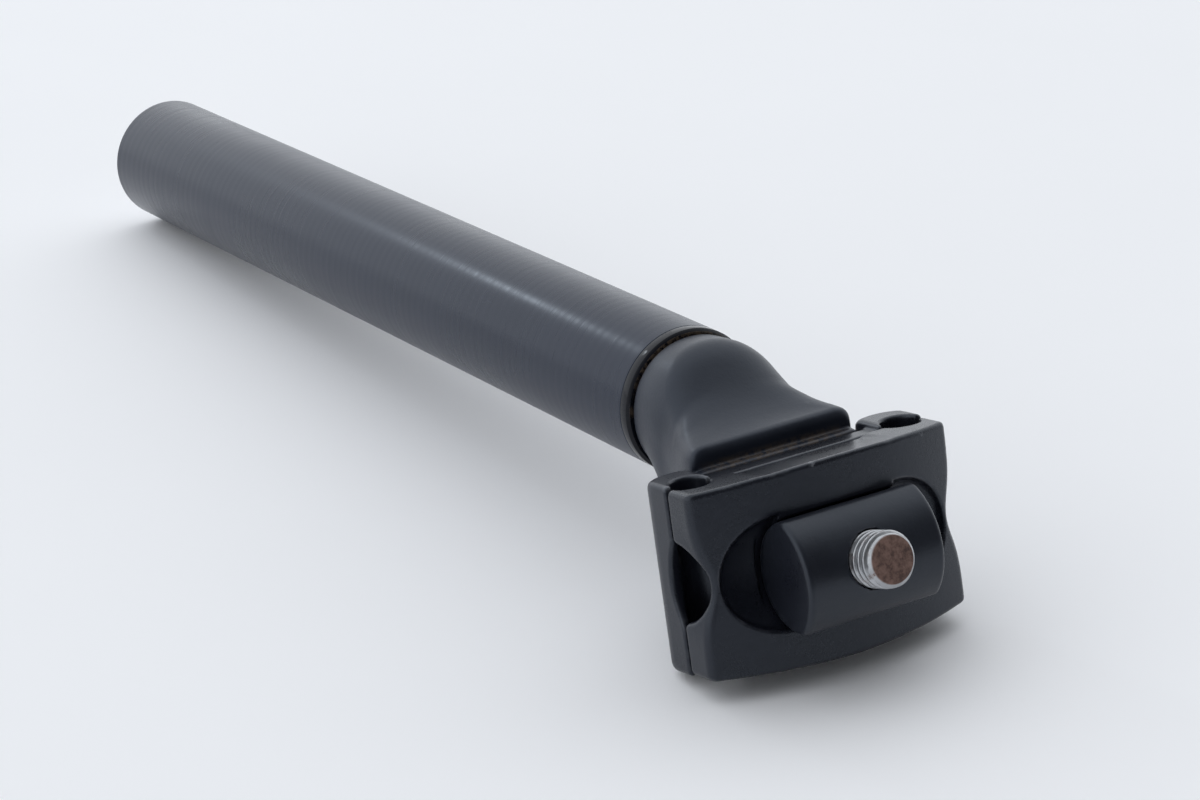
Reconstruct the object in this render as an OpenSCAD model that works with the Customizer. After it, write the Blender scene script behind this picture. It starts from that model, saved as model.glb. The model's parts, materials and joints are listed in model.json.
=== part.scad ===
// Suspension seatpost for a bicycle, lying along +X: the plain tube that goes into the frame starts
// at the origin and the saddle clamp is at the far end. +Z is the front of the bicycle as the post
// lies, Y runs across the bicycle. The post is drawn pushed fully home, with the preload backed off.

/* [Outer tube] */
// Outside diameter of the tube, the size of the frame's seat tube
tube_d = 27.2; // [27:0.1:27.4]
// Length of the tube up to the collar
tube_len = 221.3; // [215:0.1:330]
// Wall thickness of the tube
tube_wall = 1.9; // [1.8:0.05:1.95]
// Thickness of the collar's visible ring
ring_t = 2.5; // [2:0.1:3]

/* [Suspension] */
// How far the shaft slides out of the tube
travel = 30; // [20:1:32]
// Outside diameter of the sliding shaft
shaft_d = 21; // [20.8:0.1:21]
// Wall thickness of the sliding shaft
shaft_wall = 3; // [2.5:0.1:3.5]
// How far the preload plug screws in
preload_travel = 12; // [6:1:12]
// Outside diameter of the coil spring
spring_d = 20; // [18:0.5:21]
// Diameter of the spring wire
wire_d = 3.2; // [2.5:0.1:3.5]
// Number of turns of the spring
spring_turns = 10; // [8:1:11]

/* [Head] */
// Diameter of the neck where it meets the collar
neck_d = 25; // [24.6:0.1:25.4]
// Distance along the tube from the collar's face to the tilt axis
reach = 51; // [50.5:0.1:53]
// Distance of the tilt axis behind the tube's axis
setback = 14.7; // [14:0.1:15]
// Radius of the cradle that the lower clamp rocks in
cradle_r = 25.6; // [25.5:0.1:25.8]
// Width of the head across the cradle
cradle_w = 34; // [32:0.5:34]
// Angle of the bolt above the tube's axis
bolt_angle = 16.5; // [15:0.5:18]

/* [Saddle clamp] */
// Angle of the clamp's normal above the tube's axis, as it lies
clamp_angle = 7.5; // [4:0.5:12]
// Width of the clamp across both rails
clamp_w = 54; // [53:0.5:56]
// Length of the clamp along the rails, at its ends
clamp_l = 33.4; // [32:0.1:35]
// Diameter of the saddle rails
rail_d = 7; // [6.8:0.1:7.2]
// Distance between the rails' centres
rail_spacing = 44; // [43:0.5:45]
// Thickness of the upper clamp at its ends
upper_t = 6.7; // [6:0.1:7.5]
// Thickness of the upper clamp at its middle
upper_mid_t = 12; // [11.5:0.1:12.5]
// Distance from the tilt axis to the plane where the clamp halves meet
parting = 15.4; // [15:0.1:16]
// Length of the barrel nut
nut_len = 28; // [26:0.5:30]
// Diameter of the clamp bolt
bolt_d = 10; // [8:1:10]

/* [Hidden] */
$fn = 96;

black_anodised = "#23252c";
gloss_black = "#101115";
forged_black = "#1d1e23";
bore_r = tube_d / 2 - tube_wall;
shaft_r = shaft_d / 2;
shaft_bore_r = shaft_r - shaft_wall;
run = 0.05;                                 // radial clearance of a running fit
bolt_clear = 0.4;                           // around the bolt in both clamp halves
ring_recess = 0.7;
seal_len = 4;
ring_top = tube_len + ring_t;

// Places along the tube, from the collar down
collar_skirt = 7;
skirt_x = tube_len - collar_skirt;
upper_bush_len = 22;
upper_bush_x = skirt_x - upper_bush_len;
top_out_t = 5;
top_out_x = upper_bush_x - top_out_t;
key_r = 1.4;
key_len = 14;
key_x = upper_bush_x + 4;
key_offset = shaft_r - 0.25;
circlip_t = 1.2;
clip_depth = 0.6;                           // depth of the circlip's groove
circlip_x = top_out_x - 0.8 - travel - circlip_t;
lower_bush_len = 18;
lower_bush_x = circlip_x - lower_bush_len;
shaft_x = lower_bush_x - 1;
plug_flange_t = 3;
shaft_top = ring_top + 4;
spigot_x = shaft_top - 20;

// Places along the tube, from the preload plug up
plug_x = 1;
plug_len = 14;
washer_t = 2;
washer_x = plug_x + plug_len;
stack_x = washer_x + washer_t;
stack_end = shaft_x - plug_flange_t - preload_travel - 1;
elastomer_len = 28;
spacer_t = 3;
spring_len = stack_end - elastomer_len - spacer_t - stack_x;
guide_r = spring_d / 2 - wire_d - 0.6;      // fits inside the spring
hex_key = 8;

// The clamp's frame has its origin on the tilt axis and its Z along the clamp's or the bolt's normal
axis_x = ring_top + reach;
half_gap = 0.2;
rocker_r = cradle_r - 0.15;
lobe_in = cradle_w / 2 + 0.35;
lobe_r = 7.4;
lobe_l = clamp_l / 2 + 0.3;
mid_l = clamp_l / 2 - 0.7;
rail_y = rail_spacing / 2;
crown = 1.1;
nut_r = 10;
nut_arc_r = 12.1;
nut_crown = 5.6;
nut_flat = 0.5;
valley_r = nut_r + 0.3;
bolt_r = bolt_d / 2;
bolt_swing = 14;                            // how far the clamp tilts either way from the bolt
seat_r = 32;                                // from the tilt axis to the washer's seat
flat_washer_t = 1.5;
lock_washer_t = 1.2;
bolt_head_r = bolt_r + 2.25;
bolt_head_t = 8;
bolt_tip = 10.5;
neck_end = axis_x - 49.5;
lip_r = 28.3;
lip_angle = 34;
lip_x = axis_x - 24.3;                      // flat end of the cradle's front lip
lip_top = 17 - setback;
shelf_z = 13.2 - setback;                   // step below the lip, at the cradle's edge
rear_r = 27;                                // the cradle's rear lip, and its ends
rear_angle = -39;
scoop_r = 18;                               // hollow in the head's front face
pocket_out = clamp_w / 2 - 5;               // outer end of the pockets beside the nut

// A round tube or, with no bore, a rod, between two places along X
module round_x(x0, x1, r_out, r_in = 0) {
    translate([x0, 0, 0]) rotate([0, 90, 0]) difference() {
        cylinder(r = r_out, h = x1 - x0);
        if (r_in > 0) translate([0, 0, -1]) cylinder(r = r_in, h = x1 - x0 + 2);
    }
}

// Puts its children in a frame on the tilt axis: Z along the angle, Y across, X towards the rear
module at_axis(angle) {
    translate([axis_x, 0, -setback]) rotate([0, 90 - angle, 0]) children();
}

// A cylinder across the bicycle, centred on the given place
module across(r, len, x = 0, z = 0) {
    translate([x, 0, z]) rotate([90, 0, 0]) cylinder(r = r, h = len, center = true);
}

// A slot along X with round ends, cut along Z
module slot(half_len, r, z0, z1) {
    for (s = [-1, 1]) translate([s * (half_len - r), 0, z0]) cylinder(r = r, h = z1 - z0);
    translate([r - half_len, -r, z0]) cube([2 * (half_len - r), 2 * r, z1 - z0]);
}

// The three keys' places around the shaft
module each_key() {
    for (a = [90, 210, 330]) rotate([a, 0, 0]) translate([0, 0, key_offset]) children();
}

module outer_tube() {
    color(black_anodised) round_x(0, tube_len, tube_d / 2, bore_r);
}

// Screwed into the tube: a skirt inside it and a polished ring flush with its outside
module top_collar() {
    chamfer = 0.5;
    seal_r = shaft_r + 0.75;
    inner_r = shaft_r + 0.15;
    recess_r = shaft_r + 1.5;
    color(gloss_black) rotate([0, 90, 0]) rotate_extrude() polygon([
        [inner_r, skirt_x], [bore_r, skirt_x], [bore_r, tube_len], [tube_d / 2, tube_len],
        [tube_d / 2, ring_top - chamfer], [tube_d / 2 - chamfer, ring_top],
        [recess_r, ring_top], [recess_r, ring_top - ring_recess],
        [inner_r, ring_top - ring_recess], [inner_r, tube_len], [seal_r, tube_len],
        [seal_r, tube_len - seal_len], [inner_r, tube_len - seal_len]]);
}

// Thin rubber ring that the neck lands on
module bottom_out_ring() {
    color("#4b3d30") round_x(ring_top - ring_recess, ring_top + 0.1, shaft_r + 1.45, shaft_r + 0.3);
}

// Rubber ring with a groove between its two lips
module wiper_seal() {
    lip = 1.4;
    color("#151515") difference() {
        round_x(tube_len - seal_len, tube_len, shaft_r + 0.75, shaft_r + 0.1);
        round_x(tube_len - seal_len + lip, tube_len - lip, shaft_r + 0.4, shaft_r - 1);
    }
}

module upper_bushing() {
    color("#d9d6c8") difference() {
        round_x(upper_bush_x, skirt_x, bore_r, shaft_r + run);
        each_key() round_x(key_x, key_x + key_len, key_r);
    }
}

// Three brass pins that stop the shaft turning in the tube
module guide_keys() {
    color("#b08d3e") each_key() round_x(key_x, key_x + key_len, key_r);
}

module top_out_bumper() {
    color("#2a2a2a") round_x(top_out_x, upper_bush_x, bore_r - 0.2, shaft_r + 0.3);
}

module inner_shaft() {
    groove_r = key_r + 0.1;
    color("#b9bcc2") difference() {
        round_x(shaft_x, shaft_top, shaft_r, shaft_bore_r);
        each_key() round_x(key_x - travel - 2, key_x + key_len + 2, groove_r);
        round_x(circlip_x, circlip_x + circlip_t, shaft_r + 1, shaft_r - clip_depth);
    }
}

module lower_bushing() {
    color("#d9d6c8") round_x(lower_bush_x, circlip_x, bore_r - run, shaft_r);
}

// Open spring ring in the shaft's groove, with its gap at the rear
module bushing_circlip() {
    gap = 5;
    color("#8b8f96") difference() {
        round_x(circlip_x, circlip_x + circlip_t, shaft_r + 0.9, shaft_r - clip_depth);
        translate([circlip_x - 1, -gap / 2, -shaft_r - 2]) cube([circlip_t + 2, gap, 6]);
    }
}

// Pressed into the shaft's lower end, where it lands on the spring stack
module shaft_plug() {
    spigot_len = 14;
    color("#8f949c") {
        round_x(shaft_x - plug_flange_t, shaft_x, bore_r - 0.5);
        round_x(shaft_x, shaft_x + spigot_len, shaft_bore_r);
    }
}

// Soft end of the spring stack, a grooved urethane rod with a hole through it
module elastomer_spring() {
    hole_r = 3;
    groove_w = 2;
    groove_depth = 1.5;
    blocks = 4;
    color("#b5a642") difference() {
        round_x(stack_end - elastomer_len, stack_end, spring_d / 2, hole_r);
        for (i = [1 : blocks - 1]) {
            x = stack_end - elastomer_len + i * elastomer_len / blocks;
            round_x(x - groove_w / 2, x + groove_w / 2, spring_d, spring_d / 2 - groove_depth);
        }
    }
}

// Flanged plastic piece between the elastomer and the coil spring
module stack_spacer() {
    x = stack_end - elastomer_len;
    boss_len = 5;
    color("#e0ddd2") {
        round_x(x - spacer_t, x, bore_r - 0.7);
        round_x(x - spacer_t - boss_len, x - spacer_t, guide_r);
    }
}

// The spring's wire as one swept tube, from the thrust washer to the spacer
wire_sides = 8;
steps_per_turn = 16;
mean_r = (spring_d - wire_d) / 2;
function wire_centre(i) =
    let (a = 360 * i / steps_per_turn, rise = spring_len - wire_d)
    [stack_x + wire_d / 2 + rise * i / (spring_turns * steps_per_turn),
     mean_r * cos(a), mean_r * sin(a)];
function wire_ring(i) =
    let (a = 360 * i / steps_per_turn, c = wire_centre(i))
    [for (k = [0 : wire_sides - 1]) let (b = 360 * k / wire_sides)
        [c[0] + wire_d / 2 * sin(b), c[1] + wire_d / 2 * cos(b) * cos(a),
         c[2] + wire_d / 2 * cos(b) * sin(a)]];
module coil_spring() {
    rings = spring_turns * steps_per_turn;
    points = [for (i = [0 : rings]) each wire_ring(i)];
    sides = [for (i = [0 : rings - 1], k = [0 : wire_sides - 1])
        let (a = i * wire_sides + k, b = i * wire_sides + (k + 1) % wire_sides)
        [a, b, b + wire_sides, a + wire_sides]];
    ends = [[for (k = [wire_sides - 1 : -1 : 0]) k],
            [for (k = [0 : wire_sides - 1]) rings * wire_sides + k]];
    color("#9aa0a8") polyhedron(points, concat(sides, ends), convexity = 10);
}

// Plastic rod that keeps the spring straight
module spring_guide() {
    color("#e0ddd2") round_x(stack_x, stack_x + spring_len * 0.7, guide_r);
}

module thrust_washer() {
    color("#a9adb3") round_x(washer_x, stack_x, bore_r - 0.4);
}

// Screwed into the tube's lower end, with a hex socket for the key that sets the preload
module preload_plug() {
    socket = 8;
    color("#8f949c") difference() {
        round_x(plug_x, washer_x, bore_r - 0.08);
        translate([plug_x - 1, 0, 0]) rotate([0, 90, 0])
            cylinder(d = hex_key / cos(30), h = socket + 1, $fn = 6);
    }
}

// A bar across the head at a radius and an angle around the tilt axis, 0 facing the tube
module head_bar(radius, angle, r, width) {
    translate([axis_x - radius * cos(angle), 0, radius * sin(angle) - setback])
        rotate([90, 0, 0]) cylinder(r = r, h = width, center = true, $fn = 32);
}

// Forged head: a short neck with a spigot inside the shaft, flared and set back to the cradle
module head() {
    neck_flare = 1.8;
    flare_len = 7;
    edge_r = 1.2;
    hole_clear = 0.3;
    wide = 60;
    color(forged_black) difference() {
        union() {
            round_x(spigot_x, shaft_top, shaft_bore_r);
            round_x(ring_top + 0.3, neck_end, neck_d / 2);
            hull() {
                translate([neck_end, 0, 0]) rotate([0, 90, 0]) {
                    cylinder(d = neck_d, h = 1, $fn = 48);
                    cylinder(d = neck_d + neck_flare, h = flare_len, $fn = 48);
                }
                head_bar(lip_r, lip_angle, edge_r, cradle_w - 1);
                head_bar(rear_r, rear_angle, edge_r, cradle_w - 1);
                head_bar(rear_r, lip_angle - 14, edge_r, cradle_w);
                head_bar(seat_r - edge_r, rear_angle + 13, edge_r, cradle_w - 8);
            }
        }
        across(cradle_r, wide, axis_x, -setback);
        round_x(ring_top - 1, shaft_top, shaft_r, shaft_bore_r);
        // Hollow that falls to the cradle's front lip, and the lip's end with the step below it
        across(scoop_r, wide, lip_x, lip_top + scoop_r);
        translate([lip_x, -wide / 2, shelf_z]) cube([wide / 2, wide, wide]);
        // Bolt hole, and room behind the seat for the washers and the bolt's head
        at_axis(bolt_angle) {
            translate([0, 0, -wide]) cylinder(r = bolt_r + hole_clear, h = wide);
            translate([0, 0, -wide - seat_r]) cylinder(r = bolt_head_r + 1.75, h = wide);
        }
    }
}

module rail_grooves() {
    for (s = [-1, 1]) translate([-30, s * rail_y, -parting]) rotate([0, 90, 0])
        cylinder(d = rail_d, h = 60);
}

// Waist in both ends of the upper clamp, none at the parting plane and deepest at the top
module end_waists() {
    waist_r = 17;
    lean = 16;
    for (s = [-1, 1]) translate([0, s * clamp_w / 2, -parting]) rotate([s * lean, 0, 0])
        translate([0, s * waist_r, -20]) cylinder(r = waist_r, h = 60);
}

// Lower half: a rocker that turns in the head's cradle, with a lobe under each rail
module lower_clamp() {
    top = -parting - half_gap;
    window_r = 13.2;
    color(forged_black) at_axis(clamp_angle) difference() {
        union() {
            intersection() {
                across(rocker_r, 2 * lobe_in);
                translate([-mid_l, -lobe_in, top - 20]) cube([2 * mid_l, 2 * lobe_in, 20]);
            }
            for (s = [-1, 1]) intersection() {
                translate([-lobe_l, s * (rail_y - 0.5), -parting - 1.6]) rotate([0, 90, 0])
                    cylinder(r = lobe_r, h = 2 * lobe_l);
                translate([-lobe_l, s > 0 ? lobe_in : -clamp_w / 2, top - 20])
                    cube([2 * lobe_l, clamp_w / 2 - lobe_in, 20]);
            }
        }
        rail_grooves();
        slot(bolt_r + bolt_clear + cradle_r * tan(bolt_swing), bolt_r + bolt_clear, -40, 0);
        // The floor of each end window
        for (s = [-1, 1]) translate([0, s * (clamp_w / 2 - 3), 0])
            across(window_r, 8, 0, window_r - parting - 2);
    }
}

// Upper half: an arched block with a valley for the barrel nut and an open window in each end
module upper_clamp() {
    bottom = -parting + half_gap;
    face_r = (pow(clamp_w / 2, 2) + pow(upper_mid_t - upper_t, 2)) / 2 / (upper_mid_t - upper_t);
    crown_r = (pow(clamp_w / 2, 2) + pow(crown, 2)) / 2 / crown;
    window_z = 0.6 - parting;
    window_r = 4;
    pocket_r = valley_r - 2.1;
    lean = 8.5;
    color(forged_black) at_axis(clamp_angle) difference() {
        intersection() {
            translate([0, 0, bottom]) linear_extrude(20) intersection() {
                square([2 * clamp_l, clamp_w], center = true);
                translate([clamp_l / 2 + crown - crown_r, 0]) circle(r = crown_r, $fn = 360);
                translate([crown_r - clamp_l / 2 - crown, 0]) circle(r = crown_r, $fn = 360);
            }
            translate([-30, 0, upper_mid_t - parting - face_r]) rotate([0, 90, 0])
                cylinder(r = face_r, h = 60, $fn = 360);
        }
        rail_grooves();
        end_waists();
        // The front and back faces lean in towards the parting plane between the lobes
        for (s = [-1, 1]) translate([s * mid_l, 0, -parting]) rotate([0, s * lean, 0])
            translate([s * 5, 0, 8]) cube([10, 28, 20], center = true);
        // Valley for the nut, narrowing towards the windows
        across(valley_r, nut_len + 1);
        for (s = [-1, 1]) rotate([-s * 90, 0, 0]) translate([0, 0, nut_len / 2])
            cylinder(r1 = nut_r, r2 = pocket_r, h = pocket_out - nut_len / 2);
        // Windows
        for (s = [-1, 1]) translate([0, 0, window_z]) rotate([-s * 90, 0, 0])
            translate([0, 0, pocket_out - 2]) cylinder(r1 = window_r, r2 = window_r + 3.6, h = 8);
        slot(bolt_r + bolt_clear + parting * tan(bolt_swing), bolt_r + bolt_clear, -parting - 1, 0);
    }
}

// Half-round nut that lies across the clamp and turns in its valley as the saddle tilts
module barrel_nut() {
    color(gloss_black) at_axis(bolt_angle) difference() {
        rotate([90, 0, 0]) linear_extrude(nut_len, center = true) {
            intersection() {
                circle(r = nut_r);
                translate([-nut_r, -2 * nut_r]) square([2 * nut_r, 2 * nut_r + nut_flat]);
            }
            intersection() {
                translate([0, nut_crown - nut_arc_r]) circle(r = nut_arc_r);
                translate([-nut_r + 0.1, 0]) square([2 * nut_r - 0.2, nut_r]);
            }
        }
        translate([0, 0, -20]) cylinder(r = bolt_r + 0.06, h = 40);
    }
}

// Hex socket bolt from below, through the head and both clamp halves into the nut
module clamp_bolt() {
    head_z = -seat_r - flat_washer_t - lock_washer_t;
    tip = 1;
    socket = 6;
    color("#a7a9ac") at_axis(bolt_angle) difference() {
        union() {
            translate([0, 0, head_z]) cylinder(r = bolt_r, h = bolt_tip - tip - head_z);
            translate([0, 0, bolt_tip - tip]) cylinder(r1 = bolt_r, r2 = bolt_r - 0.8, h = tip);
            translate([0, 0, head_z - bolt_head_t]) cylinder(r = bolt_head_r, h = bolt_head_t);
        }
        translate([0, 0, head_z - bolt_head_t - 1])
            cylinder(d = hex_key / cos(30), h = socket + 1, $fn = 6);
    }
}

// Stays against the head's seat when the bolt is backed out
module flat_washer() {
    color("#b4b7bb") at_axis(bolt_angle) translate([0, 0, -seat_r - flat_washer_t]) difference() {
        cylinder(r = bolt_head_r + 1, h = flat_washer_t);
        translate([0, 0, -1]) cylinder(r = bolt_r + 0.3, h = flat_washer_t + 2);
    }
}

// Split spring washer under the bolt's head
module lock_washer() {
    split = 1.2;
    color("#8d9095") at_axis(bolt_angle)
        translate([0, 0, -seat_r - flat_washer_t - lock_washer_t]) difference() {
            cylinder(r = bolt_head_r, h = lock_washer_t);
            translate([0, 0, -1]) cylinder(r = bolt_r, h = lock_washer_t + 2);
            translate([0, -split / 2, -1]) cube([20, split, lock_washer_t + 2]);
        }
}

outer_tube();
top_collar();
bottom_out_ring();
wiper_seal();
upper_bushing();
guide_keys();
top_out_bumper();
inner_shaft();
lower_bushing();
bushing_circlip();
shaft_plug();
elastomer_spring();
stack_spacer();
coil_spring();
spring_guide();
thrust_washer();
preload_plug();
head();
lower_clamp();
upper_clamp();
barrel_nut();
clamp_bolt();
flat_washer();
lock_washer();
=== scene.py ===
"""The looks of a suspension seatpost lying on a pale table.

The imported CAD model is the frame. The pieces that show are rebuilt around it as finished meshes:
turned pieces as lathed profiles, forged and milled pieces from signed distance formulas meshed on a
grid, and the bolt's thread as a helical surface. Lengths inside the formulas are in millimetres.
"""

import json
import math

import bpy
import numpy as np
from mathutils import Matrix, Vector


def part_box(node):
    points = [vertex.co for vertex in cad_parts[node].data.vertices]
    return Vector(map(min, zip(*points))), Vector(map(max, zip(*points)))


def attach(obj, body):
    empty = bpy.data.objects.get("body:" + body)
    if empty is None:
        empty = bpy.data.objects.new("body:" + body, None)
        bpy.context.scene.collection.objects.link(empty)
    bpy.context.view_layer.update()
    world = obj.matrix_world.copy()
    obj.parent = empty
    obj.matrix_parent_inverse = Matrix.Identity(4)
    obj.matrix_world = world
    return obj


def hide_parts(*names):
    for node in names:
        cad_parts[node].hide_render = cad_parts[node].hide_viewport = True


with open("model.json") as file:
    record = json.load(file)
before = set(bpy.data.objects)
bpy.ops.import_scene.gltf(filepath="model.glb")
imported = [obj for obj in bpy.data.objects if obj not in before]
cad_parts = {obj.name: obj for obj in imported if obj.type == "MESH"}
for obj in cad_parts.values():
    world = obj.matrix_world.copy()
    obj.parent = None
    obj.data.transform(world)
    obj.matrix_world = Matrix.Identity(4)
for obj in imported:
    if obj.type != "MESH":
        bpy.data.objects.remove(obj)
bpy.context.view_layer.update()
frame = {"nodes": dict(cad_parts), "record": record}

MM = 0.001


# ---------------------------------------------------------------- places taken from the frame

def node_box(node):
    """Lowest and highest corner of a CAD node, in millimetres."""
    low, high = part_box(node)
    return np.array(low) / MM, np.array(high) / MM


def joint(name):
    return next(j for j in frame["record"]["behaviour"]["joints"] if j["name"] == name)


TUBE_HIGH = node_box("outer_tube")[1]
TUBE_LEN = TUBE_HIGH[0]
TUBE_R = TUBE_HIGH[1]
RING_TOP = node_box("top_collar")[1][0]
BUSH_R = node_box("upper_bushing")[1][1]
SHAFT_R = node_box("inner_shaft")[1][1]
CLAMP_HALF_W = node_box("upper_clamp")[1][1]
NUT_HALF = node_box("barrel_nut")[1][1]

AXIS = np.array(joint("saddle_tilt")["pos_m"]) / MM
BOLT_DIR = np.array(joint("bolt_turn")["axis"])
CLAMP_DIR = np.array(joint("upper_clamp_lift")["axis"])
ACROSS = np.array([0.0, 1.0, 0.0])

RAIL = next(m for m in frame["record"]["mounts"] if m["name"] == "rail_right")
RAIL_POS = np.array(RAIL["pos_m"]) / MM
RAIL_Y = RAIL_POS[1]
RAIL_R = RAIL["dims"]["r_mm"]
PARTING = float(np.dot(AXIS - RAIL_POS, CLAMP_DIR))


class Place:
    """A local frame in millimetres: u towards the front, v across, w along a direction."""

    def __init__(self, origin, up):
        self.origin = np.array(origin, float)
        up = np.array(up, float) / np.linalg.norm(up)
        front = np.array([-up[2], 0.0, up[0]])
        self.axes = np.stack([front, ACROSS, up])

    def to_row(self, points):
        return (points @ self.axes + self.origin) * MM

    def normals(self, vectors):
        return vectors @ self.axes


ROW = Place((0, 0, 0), (0, 0, 1))
ROW.axes = np.eye(3)
CLAMP = Place(AXIS - PARTING * CLAMP_DIR, CLAMP_DIR)
BOLT = Place(AXIS, BOLT_DIR)


# ---------------------------------------------------------------- meshing

def smooth_min(a, b, k):
    """The smaller of two distances, blended over a fillet of about k."""
    h = np.maximum(k - np.abs(a - b), 0) / k
    return np.minimum(a, b) - h * h * k / 4


def smooth_max(a, b, k):
    return -smooth_min(-a, -b, k)


def cut(body, tool, k):
    """The body with the tool's space taken out, its edges rounded over k."""
    return smooth_max(body, -tool, k)


def ease(t):
    t = np.clip(t, 0, 1)
    return t * t * (3 - 2 * t)


def gradient(shape, p, h=0.02):
    steps = np.eye(3) * h
    return np.stack([(shape(*(p + s).T) - shape(*(p - s).T)) / (2 * h) for s in steps], -1)


def mesh_shape(shape, low, high, step):
    """Surface net of shape(u, v, w) < 0: points pulled onto the true surface, quads, normals."""
    low = np.array(low, float)
    size = np.ceil((np.array(high, float) - low) / step).astype(int) + 1
    axes = [low[i] + step * np.arange(size[i]) for i in range(3)]
    field = shape(*np.meshgrid(*axes, indexing="ij"))
    inside = field < 0
    cells = tuple(size - 1)
    total = np.zeros(cells + (3,))
    count = np.zeros(cells)
    corner = [tuple(slice(o[i], o[i] + cells[i]) for i in range(3))
              for o in np.ndindex(2, 2, 2)]
    offsets = list(np.ndindex(2, 2, 2))
    for i, a in enumerate(offsets):
        for axis in range(3):
            if a[axis]:
                continue
            b = tuple(a[n] + (n == axis) for n in range(3))
            j = offsets.index(b)
            fa, fb = field[corner[i]], field[corner[j]]
            crossed = (fa < 0) != (fb < 0)
            t = np.where(crossed, fa / np.where(crossed, fa - fb, 1), 0)
            for n in range(3):
                total[..., n] += crossed * (a[n] + (t if n == axis else 0))
            count += crossed
    used = count > 0
    index = np.full(cells, -1)
    index[used] = np.arange(used.sum())
    where = np.argwhere(used)
    points = low + step * (where + total[used] / count[used][:, None])
    quads = []
    for axis in range(3):
        b, c = (axis + 1) % 3, (axis + 2) % 3
        span = [slice(1, size[n] - 1) for n in range(3)]
        span[axis] = slice(0, size[axis] - 1)
        here = inside[tuple(span)]
        span[axis] = slice(1, size[axis])
        there = inside[tuple(span)]
        for flip in (False, True):
            hit = np.argwhere((here != there) & (here == flip))
            base = hit + np.array([0 if n == axis else 1 for n in range(3)])
            ring = []
            for db, dc in ((0, 0), (-1, 0), (-1, -1), (0, -1)):
                q = base.copy()
                q[:, b] += db
                q[:, c] += dc
                ring.append(index[tuple(q.T)])
            ring = np.stack(ring, 1)
            quads.append(ring if flip else ring[:, ::-1])
    quads = np.concatenate(quads)
    for _ in range(3):
        slope = gradient(shape, points)
        length2 = np.maximum((slope ** 2).sum(1), 0.2)
        move = -(shape(*points.T) / length2)[:, None] * slope
        points = points + np.clip(move, -step / 2, step / 2)
    normals = gradient(shape, points)
    normals /= np.maximum(np.linalg.norm(normals, axis=1), 1e-9)[:, None]
    return points, quads, normals


def lathe(profile, segments=192):
    """A closed profile of (x, radius) points turned around the X axis."""
    ring = np.array(profile, float)
    turn = 2 * math.pi * np.arange(segments) / segments
    points = np.stack([np.repeat(ring[:, :1], segments, 1),
                       ring[:, 1:] * np.cos(turn), ring[:, 1:] * np.sin(turn)], -1)
    n = len(ring)
    quads = []
    for i in range(n):
        a = i * segments + np.arange(segments)
        b = i * segments + (np.arange(segments) + 1) % segments
        c = (i + 1) % n * segments + (np.arange(segments) + 1) % segments
        d = (i + 1) % n * segments + np.arange(segments)
        quads.append(np.stack([a, b, c, d], 1))
    return points.reshape(-1, 3), np.concatenate(quads)


def round_corners(profile, radius, steps=4):
    """The closed profile with each corner turned into a short arc, or left sharp where radius is 0."""
    out = []
    n = len(profile)
    for i, here in enumerate(profile):
        here = np.array(here, float)
        before = np.array(profile[i - 1], float) - here
        after = np.array(profile[(i + 1) % n], float) - here
        r = min(radius, np.linalg.norm(before) / 2.5, np.linalg.norm(after) / 2.5)
        p = here + before / np.linalg.norm(before) * r
        q = here + after / np.linalg.norm(after) * r
        for k in range(steps + 1):
            t = k / steps
            out.append((1 - t) ** 2 * p + 2 * t * (1 - t) * here + t * t * q)
    return out


def new_piece(name, parts, body, nodes, material, place=ROW, sharp=None):
    """One object from (points, faces[, normals]) parts given in a local frame in millimetres."""
    mirrored = np.linalg.det(place.axes) < 0
    points, faces, normals, count = [], [], [], 0
    for part in parts:
        points.append(place.to_row(part[0]))
        faces.append((part[1][:, ::-1] if mirrored else part[1]) + count)
        if len(part) > 2:
            normals.append(place.normals(part[2]))
        count += len(part[0])
    mesh = bpy.data.meshes.new(name)
    mesh.from_pydata(np.concatenate(points).tolist(), [], np.concatenate(faces).tolist())
    mesh.validate()
    mesh.polygons.foreach_set("use_smooth", [True] * len(mesh.polygons))
    if sharp is not None:
        mesh.set_sharp_from_angle(angle=math.radians(sharp))
    if len(normals) == len(parts):
        mesh.normals_split_custom_set_from_vertices(np.concatenate(normals).tolist())
    mesh.update()
    piece = bpy.data.objects.new(name, mesh)
    bpy.context.scene.collection.objects.link(piece)
    mesh.materials.append(material)
    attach(piece, body)
    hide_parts(*nodes)
    return piece


# ---------------------------------------------------------------- materials

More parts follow.
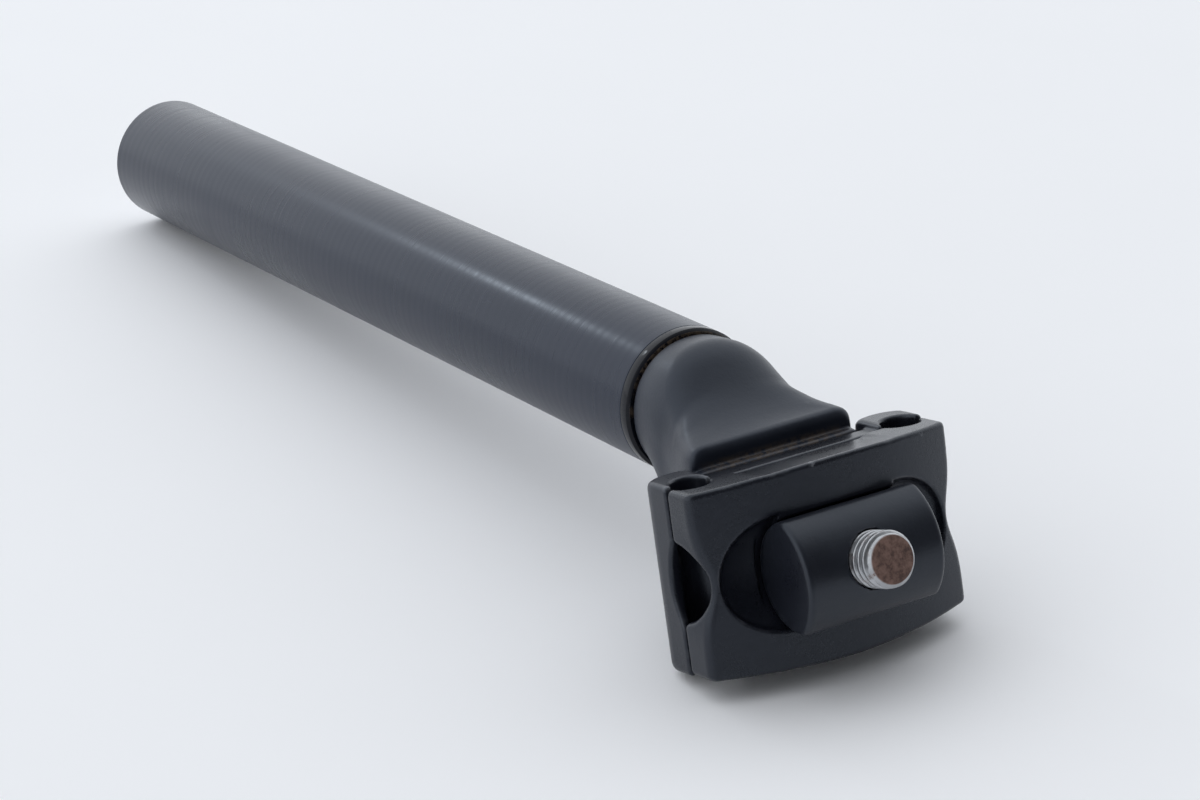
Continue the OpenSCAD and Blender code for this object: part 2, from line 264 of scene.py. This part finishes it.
class Shader:
    """A material being built: nodes are made with add() and joined with link()."""

    def __init__(self, name):
        self.material = bpy.data.materials.new(name)
        self.material.use_nodes = True
        self.tree = self.material.node_tree
        self.main = self.tree.nodes["Principled BSDF"]
        self.place = self.add("ShaderNodeTexCoord").outputs["Object"]

    def add(self, kind, inputs=None, **settings):
        node = self.tree.nodes.new(kind)
        for key, value in settings.items():
            setattr(node, key, value)
        for key, value in (inputs or {}).items():
            if isinstance(value, bpy.types.NodeSocket):
                self.tree.links.new(value, node.inputs[key])
            else:
                node.inputs[key].default_value = value
        return node

    def link(self, socket, name):
        self.tree.links.new(socket, self.main.inputs[name])

    def noise(self, scale, detail=4, roughness=0.55, stretch=None):
        where = self.place
        if stretch:
            where = self.add("ShaderNodeMapping", {"Vector": where, "Scale": stretch}).outputs[0]
        return self.add("ShaderNodeTexNoise", {"Vector": where, "Scale": scale, "Detail": detail,
                                               "Roughness": roughness}).outputs[0]

    def remap(self, value, low, high, to_low, to_high):
        return self.add("ShaderNodeMapRange", {"Value": value, "From Min": low, "From Max": high,
                                               "To Min": to_low, "To Max": to_high}).outputs[0]

    def math(self, operation, a, b=0.0):
        return self.add("ShaderNodeMath", {0: a, 1: b}, operation=operation).outputs[0]

    def mix(self, factor, a, b):
        node = self.add("ShaderNodeMix", data_type="RGBA")
        for name, value in (("Factor", factor), ("A", a), ("B", b)):
            kind = "VALUE" if name == "Factor" else "RGBA"
            socket = next(s for s in node.inputs if s.name == name and s.type == kind)
            if isinstance(value, bpy.types.NodeSocket):
                self.tree.links.new(value, socket)
            else:
                socket.default_value = value
        return next(s for s in node.outputs if s.type == "RGBA")

    def split(self):
        return self.add("ShaderNodeSeparateXYZ", {0: self.place}).outputs

    def edges(self, low, high):
        """1 on convex edges, 0 elsewhere."""
        pointiness = self.add("ShaderNodeNewGeometry").outputs["Pointiness"]
        return self.remap(pointiness, low, high, 0.0, 1.0)

    def bump(self, heights):
        """Heights are (value, distance in metres, strength) rows, added one on another."""
        normal = None
        for value, distance, strength in heights:
            inputs = {"Height": value, "Distance": distance, "Strength": strength}
            if normal is not None:
                inputs["Normal"] = normal
            normal = self.add("ShaderNodeBump", inputs).outputs[0]
        self.link(normal, "Normal")


def rgb(r, g, b):
    return (r, g, b, 1.0)


TURNED_STEP = 0.00042                       # metres for each radian of the turned lines' wave
TURNED_SCALE = 1 / (TURNED_STEP * 20)       # the wave node turns 20 radians for each scaled unit


def anodised_tube():
    """Satin black anodising over fine turned lines, with cloudy handling marks."""
    s = Shader("black_anodised")
    s.main.inputs["Specular Tint"].default_value = rgb(0.80, 0.88, 1.0)
    s.main.inputs["Specular IOR Level"].default_value = 0.4
    cloud = s.noise(28.0, 5)
    streak = s.noise(1.0, 3, stretch=(900.0, 12.0, 12.0))
    base = s.mix(cloud, rgb(0.010, 0.013, 0.024), rgb(0.017, 0.021, 0.036))
    scuff = s.remap(s.noise(160.0, 6, 0.7, stretch=(0.25, 1.0, 1.0)), 0.64, 0.74, 0.0, 0.35)
    s.link(s.mix(scuff, base, rgb(0.075, 0.082, 0.105)), "Base Color")
    rough = s.math("ADD", s.remap(cloud, 0.3, 0.7, 0.25, 0.32), s.remap(streak, 0.3, 0.7, -0.03, 0.03))
    s.link(rough, "Roughness")
    turned = s.add("ShaderNodeTexWave", {"Vector": s.place, "Scale": TURNED_SCALE,
                                         "Distortion": 0.4, "Detail": 1.0},
                   wave_type="BANDS", bands_direction="X").outputs[1]
    s.bump([(turned, 0.00003, 0.25), (streak, 0.00004, 0.3), (cloud, 0.0002, 0.05)])
    return s.material


def gloss_ring():
    """Polished black anodising with small nicks."""
    s = Shader("gloss_black_ring")
    s.main.inputs["Base Color"].default_value = rgb(0.006, 0.008, 0.014)
    s.main.inputs["Specular IOR Level"].default_value = 0.22
    dirt = s.remap(s.noise(420.0, 5), 0.52, 0.66, 0.0, 0.6)
    s.link(s.remap(dirt, 0.0, 1.0, 0.09, 0.5), "Roughness")
    x, _, z = s.split()[:3]
    inner = s.remap(x, (RING_TOP - 0.12) * MM, RING_TOP * MM, 0.0, 1.0)
    crust = s.math("MULTIPLY", s.remap(s.noise(1100.0, 4, 0.7), 0.42, 0.55, 0.0, 1.0),
                   s.remap(z, 3 * MM, 9 * MM, 0.0, 1.0))
    s.link(s.mix(s.math("MULTIPLY", inner, s.math("MAXIMUM", dirt, crust)),
                 rgb(0.004, 0.005, 0.009), rgb(0.085, 0.064, 0.046)), "Base Color")
    s.bump([(s.noise(700.0, 3), 0.00003, 0.25)])
    return s.material


def forged(name, dark, light, edge_wear_and_highlight, roughness, dirt=None):
    """Blasted black forging: grainy, cloudy, pale on its edges from polished wear and a painted edge
    highlight, dirty in its creases.
    """
    s = Shader(name)
    cloud = s.noise(60.0, 5)
    grain = s.noise(2400.0, 3, 0.6)
    pits = s.noise(520.0, 5, 0.65)
    base = s.mix(s.remap(cloud, 0.32, 0.68, 0.0, 1.0), dark, light)
    # Pale line on the convex edges: partly real edge wear, partly a painted highlight.
    patch = s.remap(s.noise(260.0, 5, 0.7), 0.45, 0.62, 0.0, 1.0)
    edge = s.math("MULTIPLY", s.edges(0.525, 0.58), patch)
    base = s.mix(s.math("MULTIPLY", edge, edge_wear_and_highlight), base, rgb(0.16, 0.165, 0.18))
    s.main.inputs["Specular Tint"].default_value = rgb(0.80, 0.88, 1.0)
    if dirt:
        amount, colour = dirt(s)
        base = s.mix(amount, base, colour)
    s.link(base, "Base Color")
    rough = s.math("ADD", s.remap(cloud, 0.3, 0.7, roughness - 0.05, roughness + 0.05),
                   s.remap(grain, 0.3, 0.7, -0.04, 0.04))
    s.link(rough, "Roughness")
    s.bump([(grain, 0.00004, 0.35), (pits, 0.00012, 0.3), (cloud, 0.0005, 0.12)])
    return s.material


def seam_dirt(s):
    """Dried brown dirt in the seam at the collar, thickest at the front, and under the front lip."""
    x, y, z = s.split()[:3]
    grit = s.remap(s.noise(900.0, 4, 0.7), 0.40, 0.55, 0.0, 1.0)
    near = s.remap(x, (RING_TOP + 0.35) * MM, (RING_TOP + 1.1) * MM, 1.0, 0.0)
    front = s.remap(z, 4 * MM, 12 * MM, 0.15, 1.0)
    past_lip = s.remap(x, (AXIS[0] + LIP_X - 0.5) * MM, (AXIS[0] + LIP_X) * MM, 0.0, 1.0)
    corner = s.remap(z, (AXIS[2] + SHELF_Z + 0.3) * MM, (AXIS[2] + SHELF_Z + 1.4) * MM, 1.0, 0.0)
    inward = s.remap(s.math("ABSOLUTE", y), 11 * MM, 16.5 * MM, 0.8, 0.0)
    under_lip = s.math("MULTIPLY", s.math("MULTIPLY", past_lip, corner), inward)
    amount = s.math("MAXIMUM", s.math("MULTIPLY", near, front), under_lip)
    return s.math("MULTIPLY", amount, grit), rgb(0.075, 0.056, 0.040)


def plain_metal(name, colour, roughness, metallic=1.0):
    """Turned or drawn bare metal with fine lines and dull patches."""
    s = Shader(name)
    cloud = s.noise(150.0, 5)
    shade = tuple(c * 0.72 for c in colour[:3]) + (1.0,)
    s.link(s.mix(cloud, shade, colour), "Base Color")
    s.main.inputs["Metallic"].default_value = metallic
    s.link(s.remap(cloud, 0.3, 0.7, roughness - 0.07, roughness + 0.1), "Roughness")
    s.bump([(s.noise(1.0, 3, stretch=(1800.0, 40.0, 40.0)), 0.00004, 0.4)])
    return s.material


def plain_soft(name, colour, roughness):
    """Rubber or plastic: soft mottling and a faint moulded grain."""
    s = Shader(name)
    cloud = s.noise(120.0, 4)
    shade = tuple(c * 0.7 for c in colour[:3]) + (1.0,)
    s.link(s.mix(cloud, shade, colour), "Base Color")
    s.link(s.remap(cloud, 0.3, 0.7, roughness - 0.06, roughness + 0.06), "Roughness")
    s.bump([(s.noise(1500.0, 3), 0.00005, 0.3)])
    return s.material


def worn_bolt():
    """Plated steel, its thread worn silver and its end face rusty brown."""
    s = Shader("worn_bolt")
    s.main.inputs["Metallic"].default_value = 1.0
    along = s.add("ShaderNodeVectorMath", {0: s.place, 1: tuple(AXIS * MM)}, operation="SUBTRACT")
    height = s.add("ShaderNodeVectorMath", {0: along.outputs[0], 1: tuple(BOLT_DIR)},
                   operation="DOT_PRODUCT").outputs["Value"]
    end = s.remap(height, (BOLT_TIP - 0.25) * MM, (BOLT_TIP - 0.03) * MM, 0.0, 1.0)
    grit = s.remap(s.noise(700.0, 6, 0.7), 0.38, 0.6, 0.0, 1.0)
    spots = s.remap(s.noise(380.0, 6, 0.7), 0.56, 0.68, 0.0, 0.9)
    rust = s.mix(grit, rgb(0.075, 0.042, 0.034), rgb(0.21, 0.125, 0.10))
    steel = s.mix(s.noise(500.0, 4), rgb(0.24, 0.25, 0.26), rgb(0.60, 0.61, 0.63))
    s.link(s.mix(s.math("MAXIMUM", end, spots), steel, rust), "Base Color")
    s.link(s.math("MAXIMUM", s.remap(end, 0.0, 1.0, 0.28, 0.75), s.remap(spots, 0.0, 0.9, 0.2, 0.7)),
           "Roughness")
    s.link(s.remap(s.math("MAXIMUM", end, spots), 0.0, 1.0, 1.0, 0.15), "Metallic")
    s.bump([(s.noise(900.0, 5, 0.7), 0.00012, 0.5)])
    return s.material


# ---------------------------------------------------------------- turned pieces

def make_tube(material):
    rim = 0.45
    profile = [(0, BUSH_R + rim), (0, TUBE_R - rim), (rim, TUBE_R), (TUBE_LEN - 0.15, TUBE_R),
               (TUBE_LEN, TUBE_R - 0.15), (TUBE_LEN, BUSH_R), (rim, BUSH_R)]
    new_piece("outer_tube_visual", [lathe(round_corners(profile, 0.5), 256)], "post",
              ["outer_tube"], material, sharp=25)


def make_collar(material):
    inner = SHAFT_R + 0.15
    edge = 0.55
    profile = [(TUBE_LEN - 7, inner), (TUBE_LEN - 7, BUSH_R), (TUBE_LEN, BUSH_R),
               (TUBE_LEN, TUBE_R - 0.12), (TUBE_LEN + 0.12, TUBE_R), (RING_TOP - edge, TUBE_R),
               (RING_TOP, TUBE_R - edge), (RING_TOP, SHAFT_R + 1.5),
               (RING_TOP - 0.7, SHAFT_R + 1.5), (RING_TOP - 0.7, inner)]
    new_piece("top_collar_visual", [lathe(round_corners(profile, 0.08, 2), 256)], "post",
              ["top_collar"], material, sharp=20)


# ---------------------------------------------------------------- forged and milled pieces

CRADLE_R = 25.62
LIP_X = -24.3
LIP_TOP = 17.0
SHELF_Z = 13.2
SEAT_R = 32.0
BOLT_R = 5.0
BOLT_TIP = 10.5
HEAD_HALF = 17.0
NECK_R = 12.5


def head_shape(x, y, z):
    """Neck, flare, cradle, front scoop and the bolt's seat, in row coordinates."""
    ax, az = AXIS[0], AXIS[2]
    along = x - ax + 55.5
    neck = NECK_R + 0.9 * ease((along - 2) / 12.0)
    half_w = neck + (HEAD_HALF - neck) * ease((along - 15) / 15.0)
    widest = -8.0 * ease((along - 8) / 20.0)
    top = neck + (5.0 - neck) * ease((along - 14) / 18.0)
    bottom = -neck + (-32.5 + neck) * ease((along - 3) / 27.0)
    power = np.where(z > widest, 2.1 + 2.9 * ease((along - 19) / 10.0),
                     2 + 3 * ease((along - 4) / 27.0))
    reach = np.where(z > widest, top - widest, widest - bottom)
    ring = ((np.abs(y) / half_w) ** power + (np.abs(z - widest) / reach) ** power) ** (1 / power)
    body = (ring - 1) * half_w * 0.9
    # Neck end over the collar, and the cradle
    body = smooth_max(body, RING_TOP + 0.35 - x, 0.5)
    cradle = np.hypot(x - ax, z - az) - CRADLE_R
    body = cut(body, cradle, 0.5)
    body = smooth_max(body, x - (ax - 17.5), 0.8)
    # Front scoop that falls to the cradle's front lip, the lip's end and the shelf below it
    back = ax + LIP_X - x
    floor = az + LIP_TOP + 0.036 * back ** 2
    body = cut(body, (floor - z) * 0.75, 1.5 + 3.0 * ease(back / 8.0))
    body = cut(body, smooth_max(back, az + SHELF_Z - z, 0.3), 1.6)
    # Bolt hole, and the relief for its head behind the neck
    b = (x - ax) * BOLT_DIR[0] + (z - az) * BOLT_DIR[2]
    r = np.hypot((z - az) * BOLT_DIR[0] - (x - ax) * BOLT_DIR[2], y)
    body = cut(body, r - BOLT_R - 0.3, 0.4)
    body = cut(body, smooth_max(r - 9.0, b + SEAT_R, 1.0), 0.8)
    # Counterbore for the shaft
    return cut(body, smooth_max(np.hypot(y, z) - SHAFT_R - 0.02, x - RING_TOP - 4, 0.3), 0.2)


def make_head(material):
    low = (RING_TOP - 0.6, -HEAD_HALF - 1, -36)
    high = (AXIS[0] - 15, HEAD_HALF + 1, 15)
    new_piece("head_visual", [mesh_shape(head_shape, low, high, 0.4)], "sprung_head", ["head"],
              material)


GAP = 0.2
UPPER_MID = 12.0
UPPER_END = 6.7
FACE_R = (CLAMP_HALF_W ** 2 + (UPPER_MID - UPPER_END) ** 2) / 2 / (UPPER_MID - UPPER_END)
LOBE_IN = 17.35
SLOT_HALF = 5.4
UPPER_SLOT_REACH = 3.8
LOWER_SLOT_REACH = 6.3


def grooves(v, w):
    return np.hypot(np.abs(v) - RAIL_Y, w) - RAIL_R


def clamp_end(u, v, w):
    """Both end faces, drawn in at the middle where the windows run out at the top."""
    waist = 2.3 * np.exp(-(u / 6.0) ** 2) * ease(w / 7.5)
    return np.abs(v) - CLAMP_HALF_W + waist


def bolt_slot(u, v, reach):
    return np.hypot(np.maximum(np.abs(u) - reach, 0), v) - SLOT_HALF


def face_height(a):
    """Height of the arched outer face at a distance from the middle."""
    return UPPER_MID - FACE_R + np.sqrt(FACE_R ** 2 - a ** 2)


def pocket_shape(u, a, w):
    """Hollow from the nut's end towards the window: a quarter of a long egg."""
    half_w, length, depth = 10.0, 11.0, 4.6
    x, y, z = u / half_w, (a - 12.3) / length, np.minimum(w - face_height(a), 0) / depth
    q = np.sqrt(x ** 2 + y ** 2 + z ** 2)
    steep = np.sqrt((x / half_w) ** 2 + (y / length) ** 2 + (z / depth) ** 2)
    return smooth_max(q * (q - 1) / np.maximum(steep, 1e-4), 12.0 - a, 0.3)


def upper_shape(u, v, w):
    """Arched block with a valley for the nut, a pocket beyond it and a window in each end."""
    a = np.abs(v)
    crown = 1.3 * (1 - (v / CLAMP_HALF_W) ** 2)
    recess = 0.6 * (1 - ease((a - 12.5) / 2.0))
    height = np.clip(w / UPPER_MID, 0, 1)
    sides = np.abs(u) - 16.55 - crown * height + recess * (1 - height)
    face = np.hypot(v, w - UPPER_MID + FACE_R) - FACE_R
    body = smooth_max(sides, face, 0.9)
    body = smooth_max(body, clamp_end(u, v, w), 1.3)
    body = smooth_max(body, GAP - w, 0.7)
    body = cut(body, pocket_shape(u, a, w), 0.7)
    valley = smooth_max(np.hypot(u, w - PARTING) - 10.3, a - NUT_HALF - 0.7, 0.4)
    body = cut(body, valley, 0.5)
    window = np.hypot(u, 1.09 * w) - 7.0 + 0.45 * np.clip(25.0 - a, 0, 9)
    window = smooth_max(window, 19.0 - a, 1.0)
    body = cut(body, window, 1.2)
    body = cut(body, grooves(v, w), 0.7)
    return cut(body, bolt_slot(u, v, UPPER_SLOT_REACH), 0.4)


def lower_shape(u, v, w):
    """Rocker with a lobe under each rail groove and the floor of the end windows."""
    a = np.abs(v)
    rocker = smooth_max(np.hypot(u, w - PARTING) - CRADLE_R + 0.2, a - LOBE_IN - 0.3, 0.4)
    rocker = smooth_max(rocker, np.abs(u) - 16.0, 0.6)
    lobe = np.hypot(a - RAIL_Y + 0.5, w + 1.6) - 7.4
    lobe = smooth_max(lobe, LOBE_IN - a, 0.8)
    lobe = smooth_max(lobe, np.abs(u) - 17.0, 1.6)
    body = smooth_min(rocker, lobe, 0.5)
    body = smooth_max(body, a - CLAMP_HALF_W, 1.2)
    body = smooth_max(body, w + GAP, 0.6)
    window = smooth_max(np.hypot(u, w - 11.2) - 13.4, 20.5 - a, 1.0)
    body = cut(body, window, 0.8)
    body = cut(body, grooves(v, w), 0.7)
    return cut(body, bolt_slot(u, v, LOWER_SLOT_REACH), 0.4)


def nut_shape(u, v, w):
    """Half-round nut: a round underside, a flatter round top and softly rounded ends."""
    body = smooth_max(np.hypot(u, np.minimum(w, 0)) - 9.95, np.hypot(u, w + 6.5) - 12.1, 0.5)
    body = smooth_max(body, np.abs(v) - NUT_HALF, 1.0)
    hole = np.hypot(u, v) - BOLT_R - 0.1 - np.clip(w - 4.9, 0, 1)
    return cut(body, hole, 0.15)


def make_clamp(material, nut_material):
    size = (19, CLAMP_HALF_W + 1.5)
    new_piece("lower_clamp_visual",
              [mesh_shape(lower_shape, (-size[0], -size[1], -12), (size[0], size[1], 1), 0.4)],
              "lower_clamp", ["lower_clamp"], material, CLAMP)
    new_piece("upper_clamp_visual",
              [mesh_shape(upper_shape, (-size[0], -size[1], -1), (size[0], size[1], 14), 0.4)],
              "upper_clamp", ["upper_clamp"], material, CLAMP)
    new_piece("barrel_nut_visual",
              [mesh_shape(nut_shape, (-11, -NUT_HALF - 1, -11), (11, NUT_HALF + 1, 7), 0.4)],
              "barrel_nut", ["barrel_nut"], nut_material, BOLT)


# ---------------------------------------------------------------- bolt

PITCH = 1.5
THREAD_DEPTH = 0.82
BOLT_SEGMENTS = 96
SHANK_TOP = -8.0                            # where the thread starts
HEAD_TOP = -SEAT_R - 2.7
HEAD_H = 8.0
HEAD_R = 7.25


def thread(low, high, segments=BOLT_SEGMENTS, rows_per_pitch=12):
    """Helical M10 thread between two heights, with a chamfered end at the top."""
    rows = int((high - low) / PITCH * rows_per_pitch)
    w = np.linspace(low, high, rows + 1)[:, None]
    turn = 2 * math.pi * np.arange(segments)[None, :] / segments
    phase = (w / PITCH - turn / (2 * math.pi)) % 1.0
    ridge = np.clip(np.abs(2 * phase - 1) * 1.35 - 0.12, 0, 1)
    r = BOLT_R - THREAD_DEPTH + THREAD_DEPTH * ease(ridge)
    r = np.minimum(r, BOLT_R - 0.9 + (high - w) * 0.9)
    points = np.stack([r * np.cos(turn), r * np.sin(turn), w + 0 * turn], -1).reshape(-1, 3)
    i, j = np.meshgrid(np.arange(rows), np.arange(segments), indexing="ij")
    a = i * segments + j
    b = i * segments + (j + 1) % segments
    quads = np.stack([a, b, b + segments, a + segments], -1).reshape(-1, 4)
    return points, quads


def disc(r, w, segments=BOLT_SEGMENTS, dome=0.0, rings=6):
    """A slightly domed round end facing up, made of rings with a small quad-free centre."""
    points, quads = [], []
    for k in range(rings + 1):
        q = max(r * (1 - k / rings), 0.02)
        turn = 2 * math.pi * np.arange(segments) / segments
        h = w + dome * (1 - (q / r) ** 2)
        points.append(np.stack([q * np.cos(turn), q * np.sin(turn), np.full(segments, h)], -1))
    for k in range(rings):
        j = np.arange(segments)
        a, b = k * segments + j, k * segments + (j + 1) % segments
        quads.append(np.stack([a, b, b + segments, a + segments], -1))
    return np.concatenate(points), np.concatenate(quads)


def bolt_head_shape(u, v, w):
    """Socket head with rounded edges and a hex recess."""
    body = smooth_max(np.hypot(u, v) - HEAD_R, np.abs(w - HEAD_TOP + HEAD_H / 2) - HEAD_H / 2, 0.9)
    flats = [np.abs(u * math.cos(q) + v * math.sin(q)) for q in (0, math.pi / 3, 2 * math.pi / 3)]
    hexagon = np.maximum(np.maximum(flats[0], flats[1]), flats[2]) - 4.0
    recess = np.maximum(hexagon, w - HEAD_TOP + HEAD_H - 6.0)
    return cut(body, recess, 0.35)


def make_bolt(material):
    low, high = (-8, -8, HEAD_TOP - HEAD_H - 0.6), (8, 8, HEAD_TOP + 0.6)
    head = mesh_shape(bolt_head_shape, low, high, 0.3)
    tip_r = BOLT_R - 0.9
    shank = thread(SHANK_TOP, BOLT_TIP)
    n = BOLT_SEGMENTS
    turn = 2 * math.pi * np.arange(n) / n
    rows = [(SHANK_TOP, BOLT_R - 0.3), (SHANK_TOP - 1.0, BOLT_R - 0.05),
            (HEAD_TOP - 0.5, BOLT_R - 0.05)]
    plain = np.concatenate([np.stack([r * np.cos(turn), r * np.sin(turn), np.full(n, w)], -1)
                            for w, r in rows[::-1]])
    j = np.arange(n)
    quads = np.concatenate([np.stack([k * n + j, k * n + (j + 1) % n,
                                      (k + 1) * n + (j + 1) % n, (k + 1) * n + j], -1)
                            for k in range(2)])
    new_piece("clamp_bolt_visual",
              [head[:2], shank, disc(tip_r, BOLT_TIP, dome=0.12), (plain, quads)],
              "clamp_bolt", ["clamp_bolt"], material, BOLT, sharp=50)


# ---------------------------------------------------------------- carried-over CAD nodes

def dress_nodes(looks):
    """Gives each CAD node that stays its procedural material."""
    for nodes, material in looks:
        for name in nodes:
            node = frame["nodes"][name]
            node.data.materials.clear()
            node.data.materials.append(material)


# ---------------------------------------------------------------- stage

def make_floor():
    """A pale table tilted so that the tube's end and the lowest point near the clamp rest on it."""
    points = [frame["nodes"][name].matrix_world @ v.co
              for name in ("lower_clamp", "upper_clamp", "clamp_bolt", "head")
              for v in frame["nodes"][name].data.vertices]
    slope = min(math.atan2(p.z + TUBE_R * MM, p.x) for p in points)
    bpy.ops.mesh.primitive_circle_add(vertices=128, radius=1.6, fill_type="NGON")
    floor = bpy.context.active_object
    floor.name = "table"
    floor.matrix_world = (Matrix.Translation((0, 0, -TUBE_R * MM - 0.00005))
                          @ Matrix.Rotation(-slope, 4, "Y"))
    s = Shader("table_white")
    s.link(s.mix(s.noise(9.0, 3), rgb(0.92, 0.92, 0.93), rgb(0.95, 0.95, 0.96)), "Base Color")
    s.main.inputs["Roughness"].default_value = 0.7
    s.main.inputs["Specular IOR Level"].default_value = 0.3
    floor.data.materials.append(s.material)


DARK_SIDE = (0.98, 0.10, 0.16)              # direction in which the tent is open and dark
LAMP_SIZE = 0.045
LAMP_POWER = 0.22
LAMP_OFFSET = (-0.73, -0.15, 0.50)          # from the ring, in metres


def make_light():
    """A white tent of even light, open and dark in front of the clamp, with one small lamp."""
    world = bpy.data.worlds.new("light_tent")
    bpy.context.scene.world = world
    world.use_nodes = True
    tree = world.node_tree
    coordinate = tree.nodes.new("ShaderNodeTexCoord")
    toward = tree.nodes.new("ShaderNodeVectorMath")
    toward.operation = "DOT_PRODUCT"
    toward.inputs[1].default_value = DARK_SIDE
    tree.links.new(coordinate.outputs["Generated"], toward.inputs[0])
    shade = tree.nodes.new("ShaderNodeMapRange")
    shade.interpolation_type = "SMOOTHSTEP"
    for name, value in (("From Min", 0.1), ("From Max", 0.8), ("To Min", 1.32), ("To Max", 0.12)):
        shade.inputs[name].default_value = value
    tree.links.new(toward.outputs["Value"], shade.inputs["Value"])
    sky = tree.nodes["Background"]
    sky.inputs["Color"].default_value = rgb(0.93, 0.96, 1.0)
    tree.links.new(shade.outputs[0], sky.inputs["Strength"])
    bpy.context.scene.view_settings.view_transform = "Standard"
    data = bpy.data.lights.new("glint_lamp", "AREA")
    data.shape = "SQUARE"
    data.size = LAMP_SIZE
    data.energy = LAMP_POWER
    data.color = (0.85, 0.93, 1.0)
    lamp = bpy.data.objects.new("glint_lamp", data)
    bpy.context.scene.collection.objects.link(lamp)
    target = Vector((RING_TOP, 0, 0)) * MM
    lamp.location = target + Vector(LAMP_OFFSET)
    lamp.rotation_euler = (target - lamp.location).to_track_quat("-Z", "Y").to_euler()


CAMERA_ANGLES = (60.0, 19.67, -4.33)        # azimuth, elevation and roll in degrees
CAMERA_PLACE = (0.73228, -0.31253, 0.21490)
LENS = 105.32


def make_camera():
    """Close three-quarter view from the saddle clamp's end, slightly rolled."""
    azimuth, elevation, roll = map(math.radians, CAMERA_ANGLES)
    back = Vector((math.sin(azimuth) * math.cos(elevation), -math.cos(azimuth) * math.cos(elevation),
                   math.sin(elevation)))
    side = Vector((math.cos(azimuth), math.sin(azimuth), 0))
    up = back.cross(side)
    right = side * math.cos(roll) + up * math.sin(roll)
    top = up * math.cos(roll) - side * math.sin(roll)
    data = bpy.data.cameras.new("camera")
    data.lens = LENS
    data.sensor_width = 36.0
    data.clip_start = 0.01
    camera = bpy.data.objects.new("camera", data)
    bpy.context.scene.collection.objects.link(camera)
    turned = Matrix((right, top, back)).transposed().to_4x4()
    camera.matrix_world = Matrix.Translation(Vector(CAMERA_PLACE)) @ turned
    bpy.context.scene.camera = camera


# ---------------------------------------------------------------- the whole scene

make_camera()
make_tube(anodised_tube())
make_collar(gloss_ring())
make_head(forged("forged_black", rgb(0.008, 0.010, 0.017), rgb(0.014, 0.017, 0.027), 0.25, 0.38,
                 seam_dirt))
make_clamp(forged("clamp_black", rgb(0.006, 0.0065, 0.010), rgb(0.010, 0.011, 0.017), 0.8, 0.30),
           forged("nut_black", rgb(0.008, 0.009, 0.014), rgb(0.012, 0.014, 0.020), 0.3, 0.34))
make_bolt(worn_bolt())

bare = plain_metal("bare_aluminium", rgb(0.62, 0.63, 0.65), 0.32)
steel = plain_metal("spring_steel", rgb(0.42, 0.43, 0.45), 0.35)
plastic = plain_soft("glide_plastic", rgb(0.70, 0.68, 0.60), 0.45)
rubber = plain_soft("black_rubber", rgb(0.022, 0.022, 0.022), 0.65)
dress_nodes([
    (["inner_shaft", "shaft_plug", "preload_plug"], bare),
    (["bushing_circlip", "coil_spring", "thrust_washer", "flat_washer", "lock_washer"], steel),
    (["upper_bushing", "lower_bushing", "stack_spacer", "spring_guide"], plastic),
    (["wiper_seal", "top_out_bumper"], rubber),
    (["guide_keys"], plain_metal("brass", rgb(0.62, 0.44, 0.18), 0.3)),
    (["elastomer_spring"], plain_soft("elastomer", rgb(0.45, 0.36, 0.08), 0.5)),
    (["bottom_out_ring"], plain_soft("dirty_rubber", rgb(0.12, 0.085, 0.055), 0.8)),
])
make_floor()
make_light()
